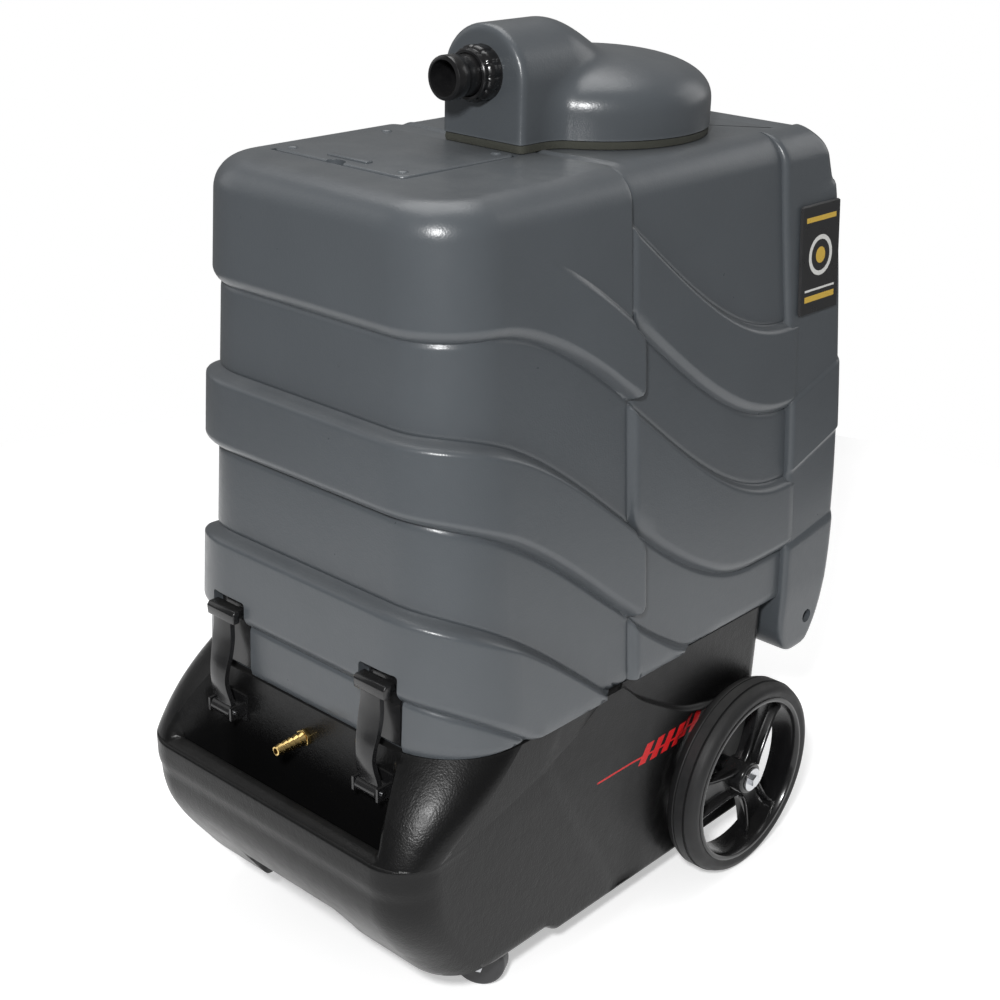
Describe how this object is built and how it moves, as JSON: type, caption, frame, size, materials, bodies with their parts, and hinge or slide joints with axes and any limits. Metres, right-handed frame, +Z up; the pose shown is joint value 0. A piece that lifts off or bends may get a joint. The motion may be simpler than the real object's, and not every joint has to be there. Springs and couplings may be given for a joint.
{
  "type": "carpet cleaner machine",
  "caption": "Upright portable carpet extractor: black wheeled base, tilting grey wave-pattern tank with domed vacuum inlet lid, latches and rear push bar.",
  "frame": {"origin": "on the floor, under the middle of the machine's length and width", "axes": "+Z up, -Y towards the front grip bar and latches, +Y towards the big wheels and rear wings, X across"},
  "size_m": [0.5406, 0.78, 1.041],
  "materials": {
    "tank": "rotomoulded polyethylene, satin with a fine orange-peel texture",
    "base": "black rotomoulded polyethylene, lightly textured",
    "black_plastic": "smooth black injection moulding",
    "tyre": "black rubber tread",
    "rubber": "black rubber or foam seal",
    "zinc": "zinc plated steel",
    "brass": "machined brass",
    "panel": "powder coated sheet steel",
    "motor": "moulded motor housing",
    "alloy": "cast aluminium",
    "label": "printed polyester plate",
    "lens": "clear lens",
    "needle": "red painted pointer",
    "switch_red": "red rocker key",
    "float": "ivory float",
    "pipe": "white PVC pipe"
  },
  "bodies": {
    "base": {"base_tub": "base", "axle": "zinc", "axle_washers": "zinc", "axle_bolts": "zinc", "hinge_brackets": "zinc", "bracket_screws": "zinc", "hinge_rod": "zinc", "caster_plates": "zinc", "caster_screws": "zinc", "latch_brackets": "black_plastic", "latch_pins": "zinc", "hose_barb": "brass", "front_foot": "base", "rear_panel": "panel", "panel_screws": "zinc", "gauge_case": "black_plastic", "gauge_lens": "lens", "power_inlets": "black_plastic", "solution_outlet": "brass", "motor_deck": "zinc", "vacuum_motors": "motor", "air_duct": "black_plastic", "duct_seal": "rubber", "pump": "alloy", "heater": "alloy", "wiring_box": "black_plastic"},
    "tank": {"tank_shell": "tank", "latch_keepers": "black_plastic", "hinge_bushes": "black_plastic", "push_bar": "zinc", "valve_housing": "black_plastic", "air_pipe": "pipe", "float_cage": "pipe", "lid_gasket": "rubber", "side_labels": "label"},
    "fill_cover": {"fill_lid": "tank"},
    "dome": {"dome_lid": "tank", "inlet_tube": "black_plastic", "inlet_collar": "black_plastic"},
    "left_latch": {"latch_left": "black_plastic"},
    "right_latch": {"latch_right": "black_plastic"},
    "left_wheel": {"tyre_left": "tyre", "wheel_rim_left": "black_plastic", "hub_bush_left": "brass"},
    "right_wheel": {"tyre_right": "tyre", "wheel_rim_right": "black_plastic", "hub_bush_right": "brass"},
    "left_caster": {"caster_fork_left": "zinc"},
    "right_caster": {"caster_fork_right": "zinc"},
    "left_caster_roller": {"caster_wheel_left": "rubber"},
    "right_caster_roller": {"caster_wheel_right": "rubber"},
    "drain_gate": {"valve_gate": "zinc"},
    "float": {"float_ball": "float"},
    "needle": {"gauge_needle": "needle"},
    "knob": {"regulator_knob": "black_plastic"},
    "rocker_1": {"switch_1": "switch_red"},
    "rocker_2": {"switch_2": "switch_red"},
    "rocker_3": {"switch_3": "switch_red"},
    "rocker_4": {"switch_4": "switch_red"}
  },
  "joints": [
    {"name": "tank_tilt", "type": "hinge", "parent": "base", "child": "tank", "pos_m": [0, 0.33, 0.292], "axis": [-1, 0, 0], "range_deg": [0, 75]},
    {"name": "fill_lid_lift", "type": "slide", "parent": "tank", "child": "fill_cover", "axis": [0, 0, 1], "range_m": [0, 0.045]},
    {"name": "dome_lift", "type": "slide", "parent": "tank", "child": "dome", "axis": [0, 0, 1], "range_m": [0, 0.12]},
    {"name": "latch_swing_left", "type": "hinge", "parent": "base", "child": "left_latch", "pos_m": [-0.12, -0.341, 0.29], "axis": [1, 0, 0], "range_deg": [0, 105]},
    {"name": "wheel_spin_left", "type": "hinge", "parent": "base", "child": "left_wheel", "pos_m": [-0.243, 0.182, 0.127], "axis": [1, 0, 0], "continuous": true},
    {"name": "caster_swivel_left", "type": "hinge", "parent": "base", "child": "left_caster", "pos_m": [-0.152, -0.23, 0.096], "axis": [0, 0, 1], "continuous": true},
    {"name": "caster_roll_left", "type": "hinge", "parent": "left_caster", "child": "left_caster_roller", "pos_m": [-0.17375, -0.21986, 0.032], "axis": [0.4226, 0.9063, 0], "continuous": true},
    {"name": "latch_swing_right", "type": "hinge", "parent": "base", "child": "right_latch", "pos_m": [0.12, -0.341, 0.29], "axis": [1, 0, 0], "range_deg": [0, 105]},
    {"name": "wheel_spin_right", "type": "hinge", "parent": "base", "child": "right_wheel", "pos_m": [0.243, 0.182, 0.127], "axis": [1, 0, 0], "continuous": true},
    {"name": "caster_swivel_right", "type": "hinge", "parent": "base", "child": "right_caster", "pos_m": [0.152, -0.23, 0.096], "axis": [0, 0, 1], "continuous": true},
    {"name": "caster_roll_right", "type": "hinge", "parent": "right_caster", "child": "right_caster_roller", "pos_m": [0.17375, -0.21986, 0.032], "axis": [-0.4226, 0.9063, 0], "continuous": true},
    {"name": "drain_gate_slide", "type": "slide", "parent": "tank", "child": "drain_gate", "axis": [1, 0, 0], "range_m": [0, 0.048]},
    {"name": "float_rise", "type": "slide", "parent": "tank", "child": "float", "axis": [0, 0, 1], "range_m": [0, 0.025]},
    {"name": "switch_1_rock", "type": "hinge", "parent": "base", "child": "rocker_1", "pos_m": [-0.066, 0.2485, 0.146], "axis": [1, 0, 0], "range_deg": [-16, 0]},
    {"name": "switch_2_rock", "type": "hinge", "parent": "base", "child": "rocker_2", "pos_m": [-0.038, 0.2485, 0.146], "axis": [1, 0, 0], "range_deg": [-16, 0]},
    {"name": "switch_3_rock", "type": "hinge", "parent": "base", "child": "rocker_3", "pos_m": [-0.01, 0.2485, 0.146], "axis": [1, 0, 0], "range_deg": [-16, 0]},
    {"name": "switch_4_rock", "type": "hinge", "parent": "base", "child": "rocker_4", "pos_m": [0.018, 0.2485, 0.146], "axis": [1, 0, 0], "range_deg": [-16, 0]},
    {"name": "pressure_knob_turn", "type": "hinge", "parent": "base", "child": "knob", "pos_m": [0.024, 0.2525, 0.218], "axis": [0, -1, 0], "range_deg": [0, 270]},
    {"name": "gauge_needle_sweep", "type": "hinge", "parent": "base", "child": "needle", "pos_m": [-0.048, 0.26025, 0.218], "axis": [0, -1, 0], "range_deg": [0, 270], "stiffness_Nm_per_rad": 0.0003}
  ]
}
